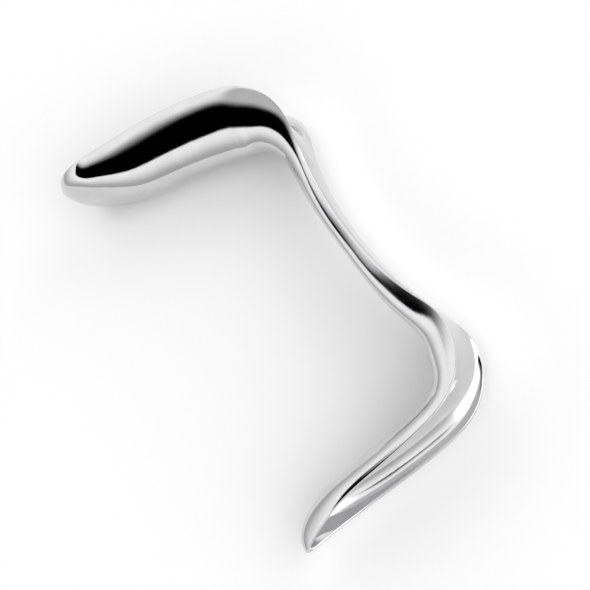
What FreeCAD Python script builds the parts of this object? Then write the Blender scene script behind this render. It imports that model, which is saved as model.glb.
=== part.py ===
"""Double-ended vaginal retractor with two scooped, trough-shaped blades.

The instrument is one piece of polished steel in the shape of a C: a bowed handle with a
blade at each end, both on the same side. It lies on its side, so the C is drawn in the
XY plane and Z is the width. Its rim line runs from the tip of the large blade, over the
heel, along the outer face of the handle, over the other heel to the tip of the small
blade. Every cross-section hangs from that line towards the inside of the C. Its back is
a half ellipse, and its hollow side faces outwards.
"""
import FreeCAD, Part
import math
import os
from FreeCAD import Vector

doc = FreeCAD.newDocument("retractor")
sheet = doc.addObject("Spreadsheet::Sheet", "sizes")

# The rim line, as seven tangent arcs: lengths and radii in mm, turns in degrees.
# A positive turn bends towards the inside of the C.
RIM_LINE = {
    "large_front_length": 46,
    "large_front_turn": 2,
    "large_back_length": 46,
    "large_back_turn": 15,
    "large_heel_radius": 28,
    "large_heel_turn": 77,
    "grip_length": 98,
    "grip_turn": -38,
    "small_heel_radius": 28,
    "small_heel_turn": 109,
    "small_back_length": 33,
    "small_back_turn": 2,
    "small_front_length": 33,
    "small_front_turn": -12,
}

# Length of the rounded end of each blade.
TIPS = {
    "large_tip_length": 19,
    "small_tip_length": 26,
}

# Width and depth of the outer form at nine places along the rim line.
SECTIONS = {
    "large_tip_width": 33,
    "large_tip_depth": 11.5,
    "large_mid_width": 35,
    "large_mid_depth": 21,
    "large_heel_width": 36,
    "large_heel_depth": 22.5,
    "large_neck_width": 10,
    "large_neck_depth": 11,
    "grip_width": 12,
    "grip_depth": 6.8,
    "small_neck_width": 22,
    "small_neck_depth": 10.4,
    "small_heel_width": 28,
    "small_heel_depth": 12.5,
    "small_mid_width": 24,
    "small_mid_depth": 11.2,
    "small_tip_width": 19,
    "small_tip_depth": 12.4,
}

# Thickness of the rim all round, and of the back of the blades, the necks and the grip.
WALLS = {
    "rim_wall": 1.8,
    "blade_back": 2.0,
    "neck_back": 5.0,
    "grip_back": 3.6,
}

# Half the reach of the boxes that divide the instrument: past the whole of it, and past the grip.
CUTS = {
    "cut_reach": 200,
    "grip_reach": 30,
}

SIZES = {**RIM_LINE, **TIPS, **SECTIONS, **WALLS, **CUTS}
for row, (alias, value) in enumerate(SIZES.items(), start=1):
    cell = f"B{row}"
    sheet.set(f"A{row}", alias)
    sheet.set(cell, str(value))
    sheet.setAlias(cell, alias)
doc.recompute()


def size(alias):
    """One driving dimension, read from the sheet."""
    return float(sheet.get(alias))


# Stations along the rim line: how many sections each stretch gets.
TIP_STATIONS = 6
BLADE_STATIONS = 4
HEEL_STATIONS = 5
GRIP_STATIONS = 6
BACK_POINTS = 9


def arc_pieces():
    """The seven arcs of the rim line as pairs of length and turn in radians."""
    arcs = []
    for name in ("large_front", "large_back", "large_heel", "grip", "small_heel", "small_back", "small_front"):
        turn = math.radians(size(name + "_turn"))
        if name.endswith("heel"):
            arcs.append((size(name + "_radius") * turn, turn))
        else:
            arcs.append((size(name + "_length"), turn))
    return arcs


def joints_along():
    """Distances along the rim line at which one arc hands over to the next."""
    marks = [0.0]
    for length, _ in arc_pieces():
        marks.append(marks[-1] + length)
    return marks


def rim_point(distance):
    """Point on the rim line and its heading, at a distance from the large blade's tip."""
    x, y, heading = 0.0, 0.0, 0.0
    left = distance
    for length, turn in arc_pieces():
        run = min(left, length)
        bend = turn * run / length
        if abs(bend) < 1e-9:
            x += run * math.cos(heading)
            y += run * math.sin(heading)
        else:
            radius = run / bend
            x += radius * (math.sin(heading) - math.sin(heading - bend))
            y += radius * (math.cos(heading - bend) - math.cos(heading))
        heading -= bend
        left -= run
        if left <= 0:
            break
    return Vector(x, y, 0), heading


def smooth_value(places, values, distance):
    """Value at a distance, on a smooth curve through the key values with no overshoot."""
    steps = [(v2 - v1) / (p2 - p1) for p1, p2, v1, v2 in zip(places, places[1:], values, values[1:])]
    slopes = [0.0]
    for before, after in zip(steps, steps[1:]):
        slopes.append(2 * before * after / (before + after) if before * after > 0 else 0.0)
    slopes.append(0.0)
    for i in range(len(places) - 1):
        if distance <= places[i + 1] or i == len(places) - 2:
            span = places[i + 1] - places[i]
            t = min(max((distance - places[i]) / span, 0.0), 1.0)
            rise = values[i + 1] - values[i]
            start = slopes[i] * span
            end = slopes[i + 1] * span
            return values[i] + t * (start + t * (3 * rise - 2 * start - end + t * (start + end - 2 * rise)))


NAMES = [
    "large_tip", "large_mid", "large_heel", "large_neck", "grip",
    "small_neck", "small_heel", "small_mid", "small_tip",
]
# Thickness of the back at the same nine places.
BACKS = ["blade"] * 3 + ["neck", "grip", "neck"] + ["blade"] * 3
# Height of the rim's crown and width of its two chamfers, as shares of its thickness.
RIM_CROWN = 0.3
RIM_CHAMFER = 0.3
# A neck lies this share of the grip's length in from the heel.
NECK_SHARE = 0.12


def key_places():
    """Distances along the rim line at which the nine named sections lie."""
    tip, _, heel, neck, far_neck, far_heel, _, end = joints_along()
    grip = far_neck - neck
    return [
        tip, heel * 0.45, heel,
        neck + NECK_SHARE * grip, neck + grip / 2, far_neck - NECK_SHARE * grip,
        far_heel, far_heel + (end - far_heel) * 0.55, end,
    ]


def tip_factor(distance, tip_length):
    """Share of the full section at a distance from a tip, on a quarter ellipse."""
    share = min(max(distance / tip_length, 0.0), 1.0)
    return math.sqrt(1 - (1 - share) ** 2)


def stations():
    """Distances at which sections are drawn, close together at the tips."""
    tip, _, heel, neck, far_neck, far_heel, _, end = joints_along()
    large_tip = size("large_tip_length")
    small_tip = size("small_tip_length")

    def spread(start, stop, count):
        return [start + (stop - start) * i / count for i in range(count)]

    quarter = [i * math.pi / 2 / TIP_STATIONS for i in range(TIP_STATIONS)]
    result = [tip + large_tip * (1 - math.cos(angle)) for angle in quarter]
    result += spread(tip + large_tip, heel, BLADE_STATIONS)
    result += spread(heel, neck, HEEL_STATIONS)
    result += spread(neck, far_neck, GRIP_STATIONS)
    result += spread(far_neck, far_heel, HEEL_STATIONS)
    result += spread(far_heel, end - small_tip, BLADE_STATIONS)
    result += [end - small_tip * (1 - math.sin(angle)) for angle in quarter]
    return result + [end]


def pole_surface(grid):
    """Smooth face over a grid of poles: degree 3, but straight across where a row has two poles."""
    def knots(count, degree):
        inner = count - degree - 1
        return [float(i) for i in range(inner + 2)], [degree + 1] + [1] * inner + [degree + 1]

    across = min(len(grid[0]) - 1, 3)
    along_knots, along_mults = knots(len(grid), 3)
    across_knots, across_mults = knots(len(grid[0]), across)
    surface = Part.BSplineSurface()
    surface.buildFromPolesMultsKnots(grid, along_mults, across_mults, along_knots, across_knots,
                                     False, False, 3, across)
    return surface.toShape()


def section(along, wall):
    """Poles of the half ellipse at a place on the rim line, and the outward direction there.

    With no wall it is the outside of the trough, and with a wall the hollow.
    """
    places = key_places()
    end = places[-1]
    point, heading = rim_point(along)
    outward = Vector(-math.sin(heading), math.cos(heading), 0)
    share = tip_factor(along - wall, size("large_tip_length") - wall)
    share *= tip_factor(end - wall - along, size("small_tip_length") - wall)
    half = smooth_value(places, [size(name + "_width") for name in NAMES], along) / 2 - wall
    depth = smooth_value(places, [size(name + "_depth") for name in NAMES], along)
    if wall:
        depth -= smooth_value(places, [size(name + "_back") for name in BACKS], along)
    angles = [math.pi * (i / (BACK_POINTS - 1) - 0.5) for i in range(BACK_POINTS)]
    row = [Vector(0, 0, half * math.sin(a)) - outward * (depth * math.cos(a)) for a in angles]
    return [point + p * share for p in row], outward


def instrument():
    """The whole instrument: its back, its hollow side and the crowned rim between them."""
    wall = size("rim_wall")
    end = key_places()[-1]
    backs = []
    hollows = []
    rims = {0: [], -1: []}
    for distance in stations():
        back, outward = section(distance, 0.0)
        hollow, _ = section(wall + (end - 2 * wall) * distance / end, wall)
        backs.append(back)
        hollows.append(hollow)
        crown = outward * (wall * RIM_CROWN)
        for side, rows in rims.items():
            across = (hollow[side] - back[side]) * RIM_CHAMFER
            rows.append([back[side], back[side] + across + crown,
                         hollow[side] - across + crown, hollow[side]])
    faces = [pole_surface(backs), pole_surface(hollows)]
    for rows in rims.values():
        faces += [pole_surface([row[i:i + 2] for row in rows]) for i in range(3)]
    shell = Part.makeShell(faces)
    shell.sewShape()
    solid = Part.makeSolid(shell)
    if solid.Volume < 0:
        solid.reverse()
    return solid


def region(label, near, far, across):
    """Box from one point to another in the XY plane, with the named reach on both sides."""
    run = far - near
    box = doc.addObject("Part::Box", label)
    box.Length = run.Length
    box.setExpression("Width", f"2 * sizes.{across}")
    box.setExpression("Height", "2 * sizes.cut_reach")
    turn = FreeCAD.Rotation(Vector(0, 0, 1), math.degrees(math.atan2(run.y, run.x)))
    corner = turn.multVec(Vector(0, size(across), size("cut_reach")))
    box.Placement = FreeCAD.Placement(near - corner, turn)
    return box


def boolean(kind, label, base, tool):
    """A boolean of two objects of the document."""
    result = doc.addObject("Part::" + kind, label)
    result.Base = base
    result.Tool = tool
    return result


blank = doc.addObject("Part::Feature", "blank")
blank.Shape = instrument()

# The handle is what lies between the two necks. The blades are the rest.
NECKS = [rim_point(key_places()[NAMES.index(name)])[0] for name in ("large_neck", "small_neck")]
middle = (NECKS[0] + NECKS[1]) / 2
grip_region = region("grip_region", NECKS[0], NECKS[1], "grip_reach")
handle = boolean("Common", "handle", blank, grip_region)
blades = boolean("Cut", "blades", blank, grip_region)
beyond = Vector(0, size("cut_reach"), 0)
large_region = region("large_region", middle, middle + beyond, "cut_reach")
small_region = region("small_region", middle, middle - beyond, "cut_reach")
large_blade = boolean("Common", "large_blade", blades, large_region)
small_blade = boolean("Common", "small_blade", blades, small_region)
doc.recompute()

NODES = [large_blade, handle, small_blade]

# The origin is on the ground, below the middle of the instrument as it lies on its side.
box = FreeCAD.BoundBox()
for node in NODES:
    box.add(node.Shape.optimalBoundingBox(False))
shift = Vector(-box.Center.x, -box.Center.y, -box.ZMin)
for node in NODES:
    node.Placement = FreeCAD.Placement(shift, FreeCAD.Rotation())
doc.recompute()

for item in doc.Objects:
    if "Invalid" in item.State or "Error" in item.State:
        raise RuntimeError(f"{item.Label} failed: {item.State}")

os.makedirs("parts", exist_ok=True)
for node in NODES:
    shape = node.Shape
    if shape.isNull() or not shape.isValid():
        raise RuntimeError(f"{node.Label} has no valid shape")
    shape.exportStep(os.path.join("parts", node.Label + ".step"))
    print(node.Label, len(shape.Solids), "solid", round(shape.Volume), "mm3", shape.BoundBox)
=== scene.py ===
# %% Load the frame
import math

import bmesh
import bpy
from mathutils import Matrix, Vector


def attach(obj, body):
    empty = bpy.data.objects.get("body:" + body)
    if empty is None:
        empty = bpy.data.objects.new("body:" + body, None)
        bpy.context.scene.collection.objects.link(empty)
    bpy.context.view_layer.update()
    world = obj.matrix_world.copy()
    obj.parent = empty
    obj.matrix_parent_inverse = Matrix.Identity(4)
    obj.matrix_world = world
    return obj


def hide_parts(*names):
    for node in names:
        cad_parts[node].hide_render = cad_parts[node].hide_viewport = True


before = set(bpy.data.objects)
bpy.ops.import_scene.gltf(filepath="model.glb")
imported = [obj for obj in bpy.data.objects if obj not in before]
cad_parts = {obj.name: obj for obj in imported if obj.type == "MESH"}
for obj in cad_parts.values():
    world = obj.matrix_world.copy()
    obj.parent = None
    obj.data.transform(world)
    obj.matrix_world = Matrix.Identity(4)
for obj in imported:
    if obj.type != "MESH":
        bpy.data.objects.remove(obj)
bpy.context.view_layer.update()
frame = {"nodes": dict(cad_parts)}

# %% [markdown]
# # A double-ended retractor in polished steel
# The instrument is forged from one piece of stainless steel, ground to shape and then polished
# like a mirror. A bowed handle carries a trough-shaped blade at each end. Here it lies on its
# side on a pale table. A mirror shows every dent, so the lesson is about one clean, even surface,
# and about the room that the surface reflects.

MM = 0.001

# %% [markdown]
# ## The rim line
# All of the shape hangs from one line: the rim of the troughs, seen from the side. It starts at
# the tip of the large blade, rolls over the heel, follows the outside of the handle and rolls
# over the other heel to the tip of the small blade. A maker would set it out with a compass, as
# a chain of arcs.

# %% The rim line's seven arcs
RIM_START = Vector((-70.26, 95.5, 17.934))
RIM_ARCS = {  # name: length in mm, turn in degrees towards the inside of the C
    "large_front": (46.3, -0.5),
    "large_back": (43.7, 16.2),
    "large_heel": (37.0, 75.8),
    "grip": (99.5, -36.1),
    "small_heel": (51.2, 105.8),
    "small_back": (34.5, 6.9),
    "small_front": (36.5, -14.4),
}
marks = [0.0]
headings = [0.0]
for length, turn in RIM_ARCS.values():
    marks.append(marks[-1] + length)
    headings.append(headings[-1] - math.radians(turn))
LARGE_END, _, LARGE_HEEL, LARGE_NECK, SMALL_NECK, SMALL_HEEL, _, SMALL_END = marks
print("The rim line is", round(SMALL_END), "mm long")

# %% [markdown]
# ## Evening out
# A mirror shows where one arc hands over to the next. Grinding takes the corner off such a place,
# and the same is done here: a curve is averaged over a few millimetres on either side. The line
# is then walked in small steps, and each step goes the way that the averaged curve says.

# %% Average a curve, and walk along the line
EVENING = ((-9, 1), (-4.5, 4), (0, 6), (4.5, 4), (9, 1))  # offset in mm, weight
STEP = 0.5  # mm


def evened(curve, distance):
    """A curve's value, averaged over a few millimetres on either side."""
    places = [min(max(distance + offset, 0), SMALL_END) for offset, _ in EVENING]
    weights = [weight for _, weight in EVENING]
    return sum(weight * curve(place) for weight, place in zip(weights, places)) / sum(weights)


def raw_heading(distance):
    """Direction of the chain of arcs at a distance, in radians."""
    i = 0
    while i < len(marks) - 2 and distance > marks[i + 1]:
        i += 1
    share = (distance - marks[i]) / (marks[i + 1] - marks[i])
    return headings[i] + share * (headings[i + 1] - headings[i])


line_points = [RIM_START]
while len(line_points) * STEP < SMALL_END + STEP:
    heading = evened(raw_heading, (len(line_points) - 0.5) * STEP)
    line_points.append(line_points[-1] + STEP * Vector((math.cos(heading), math.sin(heading), 0)))


def rim_point(distance):
    """Point on the rim line in mm, and the direction square to it that faces outwards."""
    i = min(int(distance / STEP), len(line_points) - 2)
    point = line_points[i].lerp(line_points[i + 1], distance / STEP - i)
    heading = evened(raw_heading, distance)
    return point, Vector((-math.sin(heading), math.cos(heading), 0))


print("The small blade's tip is at", [round(value, 1) for value in rim_point(SMALL_END)[0]])

# %% [markdown]
# ## The cross-sections
# Across the line, the back of the steel is half an oval. On the blades the outer face is
# hollow, so the steel is a trough with a lip along each rim. On the handle the outer face swells
# instead, the widest place drops below the line and the lips fade out, so that the steel is a
# smooth bar. Twelve places along the line are enough to say so. A squareness of 2 is an ellipse,
# and more is nearer to a box. The flare is the share by which the bar is narrower at its back
# than at its widest place. It leans the handle's flat side a little, and the lean is what turns
# a long stretch of it black in the mirror.

# %% Twelve sections along the line, in mm
WIDTH, DEPTH, DROP, HOLLOW, LIP, SQUARE, FLARE = range(1, 8)
GRIP = SMALL_NECK - LARGE_NECK
SECTIONS = [  # distance, width, depth, drop, hollow, lip, squareness, flare
    (LARGE_END, 33, 8.5, 0, 6.5, 1.8, 3, 0),
    (LARGE_HEEL * 0.45, 34.5, 22, 0, 19.8, 1.8, 1.8, 0),
    (LARGE_HEEL, 34, 23.9, 0, 21, 1.8, 1.7, 0),
    (LARGE_HEEL + 20, 27.7, 22.9, 0, 6, 1.0, 1.8, 0),
    (LARGE_NECK + 0.12 * GRIP, 14.8, 9.5, 1.2, -1.2, 0.1, 2, 0),
    (LARGE_NECK + 0.5 * GRIP, 14.2, 8.2, 2.3, -1.2, 0.1, 4, 0.09),
    (LARGE_NECK + 0.7 * GRIP, 16.4, 10, 3, -1.2, 0.1, 4.5, 0.07),
    (SMALL_NECK - 0.12 * GRIP, 20, 12.7, 3.6, -1.2, 0.1, 4.5, 0.13),
    (SMALL_NECK + 22, 26.4, 15.4, 2.0, 3, 0.4, 3.4, 0.11),
    (SMALL_HEEL, 29, 10.6, 0, 8.6, 1.6, 2, 0.04),
    (SMALL_HEEL + 0.55 * (SMALL_END - SMALL_HEEL), 23.8, 10.9, 0, 8.8, 1.6, 2, 0),
    (SMALL_END, 12.9, 13.4, 0, 11.7, 1.6, 2, 0),
]
print(len(SECTIONS), "sections, and the handle between the necks is", round(GRIP, 1), "mm long")

# %% [markdown]
# ## Curves between the sections
# Each measure runs from section to section on a curve that never swings past its two ends, so the
# steel gets no bulge or waist that nobody drew. The same averaging takes the last corners off.


# %% One measure at any distance
def section_curve(column, distance):
    """One measure of the sections at any distance, on a curve with no overshoot."""
    places = [row[0] for row in SECTIONS]
    values = [row[column] for row in SECTIONS]
    spans = [second - first for first, second in zip(places, places[1:])]
    rises = [second - first for first, second in zip(values, values[1:])]
    steps = [rise / span for rise, span in zip(rises, spans)]
    slopes = [0.0]
    for before, after in zip(steps, steps[1:]):
        slopes.append(2 * before * after / (before + after) if before * after > 0 else 0.0)
    slopes.append(0.0)
    i = 0
    while i < len(steps) - 1 and distance > places[i + 1]:
        i += 1
    t = min(max((distance - places[i]) / spans[i], 0.0), 1.0)
    start = slopes[i] * spans[i]
    end = slopes[i + 1] * spans[i]
    return values[i] + t * (start + t * (3 * rises[i] - 2 * start - end + t * (start + end - 2 * rises[i])))


def along_curve(column, distance):
    """One measure of the sections at any distance, evened out as the rim line is."""
    return evened(lambda place: section_curve(column, place), distance)


print("Width at the large heel:", round(along_curve(WIDTH, LARGE_HEEL), 1), "mm")

# %% [markdown]
# ## One ring of the steel
# A ring goes once round the steel: over the back of the trough, over a rounded lip, back through
# the hollow and over the other lip. Towards a tip the whole section shrinks on a quarter ellipse,
# which rounds the end off. The lips are small, but they are what the light catches first, so they
# get points of their own.

# %% The back and the outer face of a ring
BACK_POINTS = 17
TIP_LIP = 1.8  # mm
LARGE_TIP = 19  # mm
SMALL_TIP = 26  # mm


def tip_share(distance, length):
    """How much of the full section is left at a distance from a tip, on a quarter ellipse."""
    share = min(max(distance / length, 0.0), 1.0)
    return math.sqrt(1 - (1 - share) ** 2)


def half_ellipse(distance, inset, bulge):
    """Half an ellipse below the widest place, from the lower rim to the upper one."""
    point, outward = rim_point(distance)
    share = tip_share(distance - inset, LARGE_TIP - inset)
    share *= tip_share(SMALL_END - inset - distance, SMALL_TIP - inset)
    half = along_curve(WIDTH, distance) / 2 - (along_curve(LIP, distance) if inset else 0)
    drop = along_curve(DROP, distance)
    power = 2 / along_curve(SQUARE, distance)
    flare = along_curve(FLARE, distance)
    points = []
    for i in range(BACK_POINTS):
        angle = math.pi * (i / (BACK_POINTS - 1) - 0.5)
        level = abs(math.cos(angle)) ** power
        across = half * math.copysign(abs(math.sin(angle)) ** power, angle) * (1 - flare * level)
        below = drop + bulge * level
        points.append(point + share * (Vector((0, 0, across)) - outward * below))
    return points


print("The back has", BACK_POINTS, "points")

# %% The lips and the whole ring
LIP_POINTS = 3
LIP_CROWN = 0.47  # height of a lip's crown, in half widths of the lip
RING_POINTS = 2 * (BACK_POINTS + LIP_POINTS)


def lip(outer, inner, outward):
    """The points of a rounded lip between the back and the outer face."""
    middle = (outer + inner) / 2
    reach = (outer - inner) / 2
    crown = outward * reach.length * LIP_CROWN
    turns = [math.pi * i / (LIP_POINTS + 1) for i in range(1, LIP_POINTS + 1)]
    return [middle + reach * math.cos(t) + crown * math.sin(t) for t in turns]


def ring_at(distance):
    """All the points of the ring at a distance along the rim line, in mm."""
    inside = distance
    if distance < LARGE_TIP:
        inside = TIP_LIP + distance * (LARGE_TIP - TIP_LIP) / LARGE_TIP
    elif distance > SMALL_END - SMALL_TIP:
        left = SMALL_END - distance
        inside = SMALL_END - TIP_LIP - left * (SMALL_TIP - TIP_LIP) / SMALL_TIP
    _, outward = rim_point(distance)
    back = half_ellipse(distance, 0, along_curve(DEPTH, distance) - along_curve(DROP, distance))
    face = half_ellipse(inside, TIP_LIP, along_curve(HOLLOW, inside))[::-1]
    return back + lip(back[-1], face[0], outward) + face + lip(face[-1], back[0], outward)


print("One ring has", RING_POINTS, "points")

# %% [markdown]
# ## Where the rings go
# Rings stand close together where the form turns quickly, which is at the two tips, and further
# apart along the handle.

# %% The rings' distances
QUARTER = math.pi / 2
FIRST_TURN = 0.02  # radians from the very end to the first full ring
TIP_RINGS = 14
LARGE_BLADE_RINGS = 22
LARGE_HEEL_RINGS = 16
HANDLE_RINGS = 30
SMALL_HEEL_RINGS = 20
SMALL_BLADE_RINGS = 12


def spread(start, stop, count):
    """Evenly spaced values from start up to, but not with, stop."""
    return [start + (stop - start) * i / count for i in range(count)]


def from_tip(length, turn):
    """Distance from a tip for a turn between 0 and a quarter circle: slow first, then faster."""
    return length * (1 - math.cos(turn))


distances = [from_tip(LARGE_TIP, turn) for turn in [0, FIRST_TURN] + spread(0, QUARTER, TIP_RINGS)[1:]]
distances += spread(LARGE_TIP, LARGE_HEEL, LARGE_BLADE_RINGS)
distances += spread(LARGE_HEEL, LARGE_NECK, LARGE_HEEL_RINGS)
distances += spread(LARGE_NECK, SMALL_NECK, HANDLE_RINGS)
distances += spread(SMALL_NECK, SMALL_HEEL, SMALL_HEEL_RINGS)
distances += spread(SMALL_HEEL, SMALL_END - SMALL_TIP, SMALL_BLADE_RINGS)
distances += [SMALL_END - from_tip(SMALL_TIP, QUARTER - turn) for turn in spread(0, QUARTER, TIP_RINGS)]
distances += [SMALL_END - from_tip(SMALL_TIP, FIRST_TURN), SMALL_END]
print(len(distances), "rings")

# %% [markdown]
# ## Drawing the steel out, ring by ring
# A circle is laid on the first ring. Its edge is then extruded again and again, and each new
# edge is laid on the next ring, the way a smith draws out a bar. Every point remembers its place
# in the ring and how far along it lies, which the polish needs later. At the tips a ring closes
# to almost nothing, and merging by distance closes the surface.

# %% The first circle
bpy.ops.object.select_all(action="DESELECT")
bpy.ops.mesh.primitive_circle_add(vertices=RING_POINTS, radius=TIP_LIP * MM)
steel = bpy.context.object
steel.name = "retractor"
bpy.ops.object.mode_set(mode="EDIT")
print("The circle has", len(steel.data.vertices), "points")


# %% Number the points, and lay them on a ring
def number_ring():
    """Give each point of the first circle its number in the ring."""
    mesh = bmesh.from_edit_mesh(steel.data)
    seat = mesh.verts.layers.int.new("seat")
    mesh.verts.layers.float.new("along")
    mesh.verts.layers.float.new("around")
    for number, vert in enumerate(sorted(mesh.verts, key=lambda v: math.atan2(v.co.y, v.co.x))):
        vert[seat] = number
    bmesh.update_edit_mesh(steel.data)


def lay_ring(distance):
    """Lay the selected ring of points on the section at a distance."""
    mesh = bmesh.from_edit_mesh(steel.data)
    seat = mesh.verts.layers.int["seat"]
    along = mesh.verts.layers.float["along"]
    around = mesh.verts.layers.float["around"]
    points = ring_at(distance)
    steps = [(second - first).length for first, second in zip(points, points[1:])]
    for vert in mesh.verts:
        if vert.select:
            vert.co = points[vert[seat]] * MM
            vert[along] = distance
            vert[around] = sum(steps[:vert[seat]]) - sum(steps) / 2
    bmesh.update_edit_mesh(steel.data)


# %% Extrude the rings
MERGE = 0.005  # mm
number_ring()
bpy.ops.mesh.select_all(action="SELECT")
lay_ring(distances[0])
for distance in distances[1:]:
    bpy.ops.mesh.extrude_edges_indiv()
    lay_ring(distance)
bpy.ops.mesh.select_all(action="SELECT")
bpy.ops.mesh.remove_doubles(threshold=MERGE * MM)
bpy.ops.mesh.normals_make_consistent(inside=False)
bpy.ops.object.mode_set(mode="OBJECT")
print("Cage:", len(steel.data.polygons), "faces")

# %% [markdown]
# ## Rounding it off
# Subdivision turns the cage into a surface whose curvature never jumps. Polishing does the same
# to the real steel, and a reflection runs over it without a kink. The finished piece stands in
# for all three solids, because no seam shows between them on the real instrument.

# %% Subdivide and smooth
SMOOTH_LEVELS = 2
rounding = steel.modifiers.new("rounding", "SUBSURF")
rounding.levels = SMOOTH_LEVELS
rounding.render_levels = SMOOTH_LEVELS
bpy.ops.object.modifier_apply(modifier="rounding")
bpy.ops.object.shade_smooth()
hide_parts("large_blade", "handle", "small_blade")
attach(steel, "root")
print("Steel:", len(steel.data.polygons), "faces")

# %% [markdown]
# ## Polished steel
# Mirror polish is never perfect. The buffing wheel leaves very fine lines along the blade and a
# faint haze between them. The lines follow the steel round its bends, so they read the distances
# stored on the points and not the world's axes.

# %% Helpers for the polish
polish = bpy.data.materials.new("polished_steel")
polish.use_nodes = True
nodes = polish.node_tree.nodes
links = polish.node_tree.links
metal = nodes["Principled BSDF"]
metal.inputs["Metallic"].default_value = 1.0


def attribute(name):
    """The value that each point of the steel remembers under a name."""
    node = nodes.new("ShaderNodeAttribute")
    node.attribute_name = name
    return node.outputs["Fac"]


def noise_along(grain, detail):
    """Noise drawn out along the steel. The grain is how often it changes per mm, along and around."""
    place = nodes.new("ShaderNodeCombineXYZ")
    links.new(attribute("along"), place.inputs["X"])
    links.new(attribute("around"), place.inputs["Y"])
    scale = nodes.new("ShaderNodeMapping")
    scale.inputs["Scale"].default_value = (*grain, 1)
    links.new(place.outputs["Vector"], scale.inputs["Vector"])
    noise = nodes.new("ShaderNodeTexNoise")
    noise.inputs["Scale"].default_value = 1.0
    noise.inputs["Detail"].default_value = detail
    links.new(scale.outputs["Vector"], noise.inputs["Vector"])
    return noise.outputs["Fac"]


def ramp(value, measured, wanted):
    """Map a value's range onto another."""
    node = nodes.new("ShaderNodeMapRange")
    node.inputs["From Min"].default_value = measured[0]
    node.inputs["From Max"].default_value = measured[1]
    node.inputs["To Min"].default_value = wanted[0]
    node.inputs["To Max"].default_value = wanted[1]
    links.new(value, node.inputs["Value"])
    return node.outputs["Result"]


print("The polish starts with", len(nodes), "nodes")

# %% Fine lines and haze
LINE_GRAIN = (0.15, 4.0)
HAZE_GRAIN = (0.08, 0.12)
NOISE_RANGE = (0.3, 0.7)
ROUGHNESS = (0.02, 0.07)
DARK_STEEL = (0.54, 0.54, 0.545, 1)
PALE_STEEL = (0.68, 0.68, 0.685, 1)
LINE_STRENGTH = 0.12
LINE_DEPTH = 0.05  # mm

lines = noise_along(LINE_GRAIN, 3.0)
haze = noise_along(HAZE_GRAIN, 2.0)
links.new(ramp(lines, NOISE_RANGE, ROUGHNESS), metal.inputs["Roughness"])

tint = nodes.new("ShaderNodeMix")
tint.data_type = "RGBA"
tint.inputs["A"].default_value = DARK_STEEL
tint.inputs["B"].default_value = PALE_STEEL
links.new(haze, tint.inputs["Factor"])
links.new(tint.outputs["Result"], metal.inputs["Base Color"])

bump = nodes.new("ShaderNodeBump")
bump.inputs["Strength"].default_value = LINE_STRENGTH
bump.inputs["Distance"].default_value = LINE_DEPTH * MM
links.new(lines, bump.inputs["Height"])
links.new(bump.outputs["Normal"], metal.inputs["Normal"])
steel.data.materials.clear()
steel.data.materials.append(polish)
print("Nodes in the polish:", len(nodes))

# %% [markdown]
# ## The CAD nodes
# The new piece takes the place of the three solids in the picture. They still get its polish, so
# that nothing unfinished is left in the file.

# %% Same polish on the solids
for node in frame["nodes"].values():
    node.data.materials.clear()
    node.data.materials.append(polish)
print("Polished too:", ", ".join(frame["nodes"]))

# %% [markdown]
# ## The table
# A plain pale table, large enough that its far edge stays out of the picture. Its reflection is
# half of what the steel shows. It is lifted by the small gap that the slimmer steel leaves under
# the wide blade, so that the shadow starts where the steel does.

# %% The table
TABLE_SIZE = 6  # m
TABLE_LIFT = 0.7  # mm
TABLE_WHITE = (0.9, 0.9, 0.9, 1)
TABLE_ROUGHNESS = 0.9
bpy.ops.object.select_all(action="DESELECT")
bpy.ops.mesh.primitive_plane_add(size=TABLE_SIZE, location=(0, 0, TABLE_LIFT * MM))
table = bpy.context.object
table.name = "table"
paper = bpy.data.materials.new("table_paper")
paper.use_nodes = True
paper.node_tree.nodes["Principled BSDF"].inputs["Base Color"].default_value = TABLE_WHITE
paper.node_tree.nodes["Principled BSDF"].inputs["Roughness"].default_value = TABLE_ROUGHNESS
table.data.materials.append(paper)
print("Table:", TABLE_SIZE, "m wide")

# %% [markdown]
# ## The camera
# It looks down on the instrument at about 57 degrees, from beyond the small heel, and it is rolled
# so that the large blade lies at the upper left.

# %% The camera
CAMERA_TILT = math.radians(32.55)
CAMERA_AZIMUTH = math.radians(-53.8)
CAMERA_ROLL = math.radians(-60.06)
CAMERA_DISTANCE = 549.53  # mm
CAMERA_LENS = 86.87  # mm
CAMERA_SENSOR = 36  # mm
TARGET = Vector((14.415, -0.363, 17.934))

back_axis = Vector((math.sin(CAMERA_TILT) * math.cos(CAMERA_AZIMUTH),
                    math.sin(CAMERA_TILT) * math.sin(CAMERA_AZIMUTH), math.cos(CAMERA_TILT)))
level_up = Vector((-math.cos(CAMERA_AZIMUTH), -math.sin(CAMERA_AZIMUTH), 0))
level_right = (-back_axis).cross(level_up).normalized()
level_up = level_right.cross(-back_axis)
right_axis = math.cos(CAMERA_ROLL) * level_right + math.sin(CAMERA_ROLL) * level_up
up_axis = math.cos(CAMERA_ROLL) * level_up - math.sin(CAMERA_ROLL) * level_right

lens = bpy.data.cameras.new("camera")
lens.lens = CAMERA_LENS
lens.sensor_width = CAMERA_SENSOR
camera = bpy.data.objects.new("camera", lens)
bpy.context.scene.collection.objects.link(camera)
place = (TARGET + back_axis * CAMERA_DISTANCE) * MM
turn = Matrix((right_axis, up_axis, back_axis)).transposed()
camera.matrix_world = Matrix.LocRotScale(place, turn, None)
bpy.context.scene.camera = camera
print("Camera at", [round(value, 3) for value in place])

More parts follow.
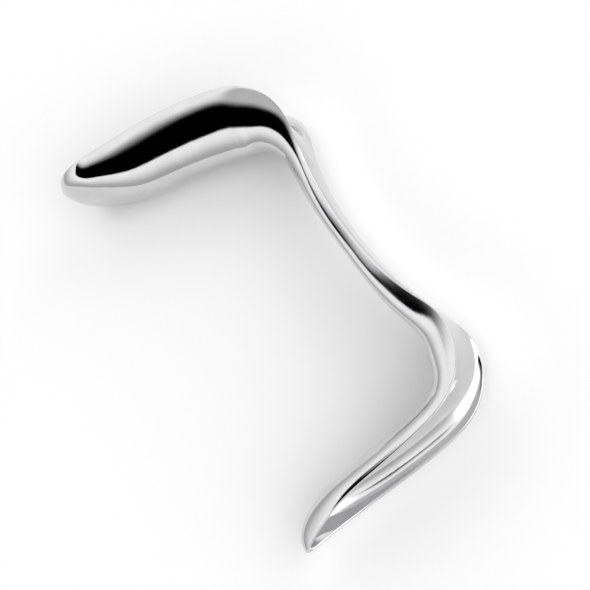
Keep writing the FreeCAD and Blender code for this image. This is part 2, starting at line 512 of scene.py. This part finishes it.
# %% [markdown]
# ## The room
# Polished steel shows the room more than itself. The instrument stands in a light tent. Its wall
# is bright all round, brightest on the right and dimmer low down on the left, and its roof is
# greyer. Two dark gaps lie between wall and roof. The wide one on the left draws the black band
# on the large blade and the black wedge on the handle, and the one on the right draws the short
# dark strokes in the small trough. Without them the steel would look like plaster. The room is
# a picture of directions, so it is made in the world shader.

# %% Directions in the room
world = bpy.data.worlds.new("room")
bpy.context.scene.world = world
world.use_nodes = True
room = world.node_tree
background = room.nodes["Background"]
looking = room.nodes.new("ShaderNodeTexCoord").outputs["Generated"]


def room_math(operation, first, second=None):
    """One sum in the room's shader. Either value may be a number or a socket."""
    node = room.nodes.new("ShaderNodeMath")
    node.operation = operation
    for socket, value in zip(node.inputs, (first, second)):
        if isinstance(value, (int, float)):
            socket.default_value = value
        elif value is not None:
            room.links.new(value, socket)
    return node.outputs["Value"]


axes = room.nodes.new("ShaderNodeSeparateXYZ")
room.links.new(looking, axes.inputs["Vector"])
elevation = room_math("DEGREES", room_math("ARCSINE", axes.outputs["Z"]))
azimuth = room_math("DEGREES", room_math("ARCTAN2", axes.outputs["Y"], axes.outputs["X"]))
print("Azimuth 0 is +X and 90 is +Y, and elevation 0 is the table")


# %% Edges in the room, in degrees
def step_up(value, start, stop):
    """0 below start, 1 above stop, with a soft step between them."""
    node = room.nodes.new("ShaderNodeMapRange")
    node.interpolation_type = "SMOOTHSTEP"
    node.inputs["From Min"].default_value = start
    node.inputs["From Max"].default_value = stop
    room.links.new(value, node.inputs["Value"])
    return node.outputs["Result"]


def flip(value):
    """1 where the value is 0, and 0 where it is 1."""
    return room_math("SUBTRACT", 1, value)


def sector(middle, reach, softness):
    """1 within reach of a compass direction, 0 outside it, with a soft edge."""
    turn = room_math("WRAP", room_math("SUBTRACT", azimuth, middle), 180)
    turn.node.inputs[2].default_value = -180
    return flip(step_up(room_math("ABSOLUTE", turn), reach - softness, reach + softness))


def storey(bottom, bottom_softness, top, top_softness):
    """1 between two elevations, with soft edges."""
    above = step_up(elevation, bottom - bottom_softness, bottom + bottom_softness)
    below = flip(step_up(elevation, top - top_softness, top + top_softness))
    return room_math("MULTIPLY", above, below)


def below_edge(compass, rise, softness):
    """1 below a straight edge overhead, which stands rise degrees up at its nearest point."""
    across = math.cos(math.radians(rise - 90))
    axis = Vector((across * math.cos(math.radians(compass)), across * math.sin(math.radians(compass)),
                   -math.cos(math.radians(rise))))
    side = room.nodes.new("ShaderNodeVectorMath")
    side.operation = "DOT_PRODUCT"
    room.links.new(looking, side.inputs[0])
    side.inputs[1].default_value = axis
    return step_up(room_math("DEGREES", room_math("ARCSINE", side.outputs["Value"])), -softness, softness)


# %% Light and dark in the room
WALL = 1.3
KEY = 1.8
ROOF = 0.7
SHADE = 0.55
ROOF_STARTS = (62, 72)
SHADE_ENDS = (5, 38)

gap_left = room_math("MULTIPLY", below_edge(207, 73, 4), storey(43, 1, 85, 2))
gap_right = room_math("MULTIPLY", sector(35, 35, 8), storey(38, 5, 82, 4))
dark = room_math("MAXIMUM", gap_left, gap_right)
key = room_math("MULTIPLY", sector(-15, 50, 15), storey(8, 5, 58, 8))
roof = step_up(elevation, *ROOF_STARTS)
shade = room_math("MULTIPLY", sector(200, 95, 30), flip(step_up(elevation, *SHADE_ENDS)))

light = room_math("ADD", WALL, room_math("MULTIPLY", key, KEY))
light = room_math("ADD", light, room_math("MULTIPLY", roof, ROOF - WALL))
light = room_math("MULTIPLY", light, flip(room_math("MULTIPLY", shade, SHADE)))
light = room_math("MULTIPLY", light, flip(dark))
room.links.new(light, background.inputs["Strength"])
background.inputs["Color"].default_value = (1, 1, 1, 1)
bpy.context.scene.view_settings.view_transform = "Standard"
print("Nodes in the room:", len(room.nodes))
